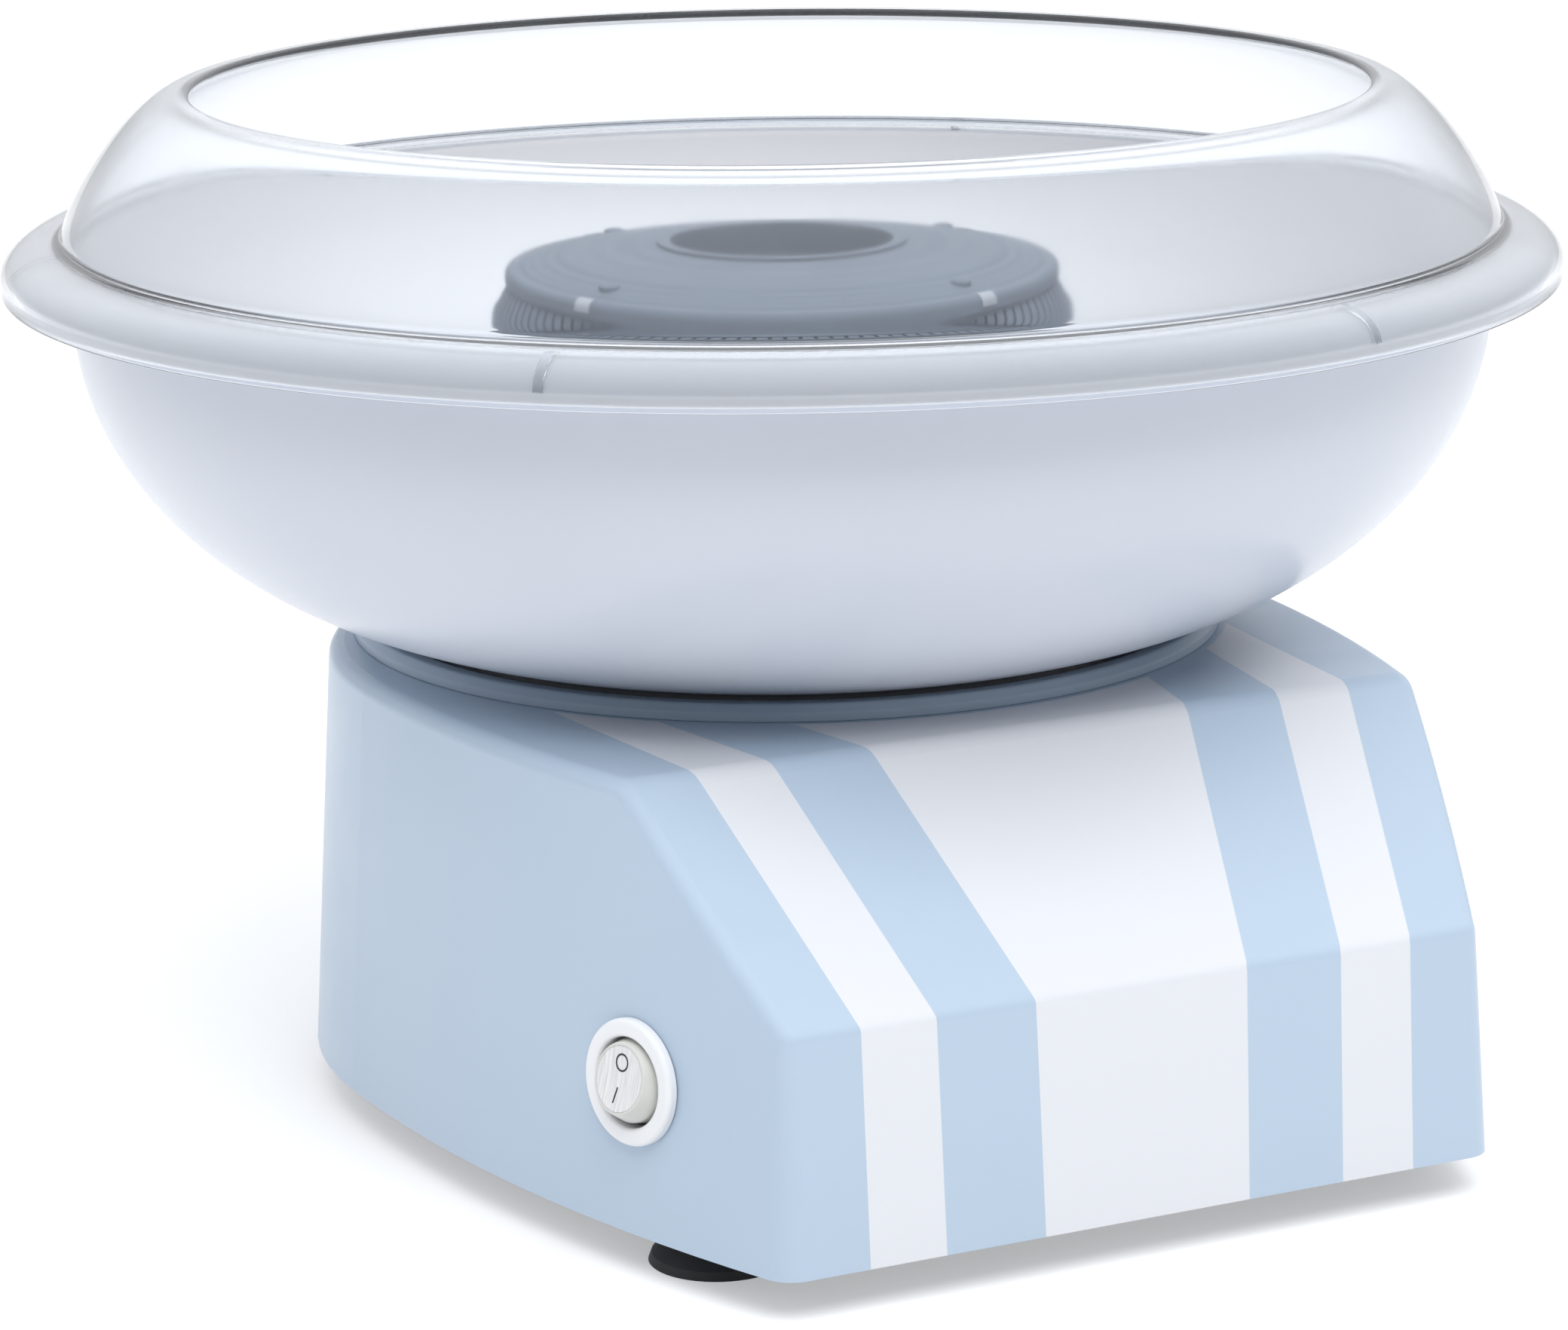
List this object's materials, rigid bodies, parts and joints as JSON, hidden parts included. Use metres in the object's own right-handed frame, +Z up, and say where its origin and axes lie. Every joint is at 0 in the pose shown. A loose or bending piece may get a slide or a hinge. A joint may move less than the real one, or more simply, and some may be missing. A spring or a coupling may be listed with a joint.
{
  "type": "cotton candy machine",
  "caption": "Table-top cotton candy machine: striped blue base with rocker switch, white bowl, clear ring-shaped guard and a heated spinning head.",
  "frame": {"origin": "on the spin axis at table level, under the feet", "axes": "+Z up along the spin axis, -Y towards the slanted front, -X towards the switch side"},
  "size_m": [0.31, 0.31, 0.2001],
  "materials": {
    "blue_plastic": "moulded ABS, satin, with painted white stripes on the front",
    "white_plastic": "glossy moulded polypropylene",
    "clear_plastic": "clear polystyrene, polished",
    "grey_plastic": "fine spark texture",
    "head_aluminium": "spun, satin",
    "shield_aluminium": "pressed sheet, bright",
    "mesh_steel": "slotted sheet",
    "steel": "zinc plated",
    "dark_steel": "heat-stained sheath",
    "black_rubber": "matt moulded rubber",
    "silicone": "translucent silicone",
    "copper": "enamelled winding wire",
    "brass": "stamped and tinned",
    "ferrite": "sintered",
    "carbon": "pressed carbon",
    "bronze": "oil-soaked sintered bronze",
    "ceramic": "steatite, unglazed",
    "board_green": "solder mask",
    "black_plastic": "moulded",
    "capacitor_blue": "shrunk sleeve",
    "terminal_grey": "moulded nylon",
    "switch_white": "moulded nylon",
    "rocker_clear": "translucent polycarbonate, ribbed inside",
    "wire_brown": "PVC sleeve",
    "wire_red": "PVC sleeve",
    "wire_white": "glass-fibre sleeve"
  },
  "bodies": {
    "base": {"base_housing": "blue_plastic", "bowl_seat_ring": "blue_plastic", "bottom_cover": "grey_plastic", "cord_inlet_bush": "black_rubber", "suction_feet": "black_rubber", "cover_screws": "steel", "motor_can": "steel", "motor_magnets": "ferrite", "motor_end_cap": "black_plastic", "front_bearing": "bronze", "rear_bearing": "bronze", "brushes": "carbon", "motor_plate": "steel", "rubber_grommets": "black_rubber", "motor_mount_screws": "steel", "motor_screws": "steel", "heat_shield_tower": "shield_aluminium", "tower_screws": "steel", "tower_floor": "shield_aluminium", "heat_reflector": "shield_aluminium", "heater_element": "dark_steel", "heater_insulators": "ceramic", "heater_posts": "ceramic", "thermal_cutoff": "black_plastic", "circuit_board": "board_green", "board_screws": "steel", "rectifier_diodes": "black_plastic", "smoothing_capacitor": "capacitor_blue", "terminal_block": "terminal_grey", "switch_body": "switch_white", "switch_terminals": "brass", "switch_leads": "wire_brown", "motor_leads": "wire_red", "heater_leads": "wire_white"},
    "spinner": {"motor_shaft": "steel", "drive_pin": "steel", "shaft_collar": "black_plastic", "armature": "dark_steel", "armature_windings": "copper", "commutator": "copper"},
    "head": {"head_upper_disc": "head_aluminium", "head_lower_pan": "head_aluminium", "head_mesh_band": "mesh_steel", "head_spacers": "steel", "head_screws": "steel", "sugar_funnel": "head_aluminium", "head_hub": "head_aluminium"},
    "bowl": {"bowl": "white_plastic", "bowl_gasket": "silicone"},
    "lid": {"lid": "clear_plastic"},
    "rocker": {"switch_rocker": "rocker_clear"}
  },
  "joints": [
    {"name": "head_spin", "type": "hinge", "parent": "base", "child": "spinner", "pos_m": [0, 0, 0.1], "axis": [0, 0, 1], "continuous": true},
    {"name": "head_lift", "type": "slide", "parent": "spinner", "child": "head", "axis": [0, 0, 1], "range_m": [0, 0.05]},
    {"name": "bowl_lift", "type": "slide", "parent": "base", "child": "bowl", "axis": [0, 0, 1], "range_m": [0, 0.09]},
    {"name": "lid_lift", "type": "slide", "parent": "bowl", "child": "lid", "axis": [0, 0, 1], "range_m": [0, 0.06]},
    {"name": "rocker_tilt", "type": "hinge", "parent": "base", "child": "rocker", "pos_m": [-0.08346, -0.10965, 0.03648], "axis": [0.2812, -0.9596, 0], "range_deg": [0, 20]}
  ]
}
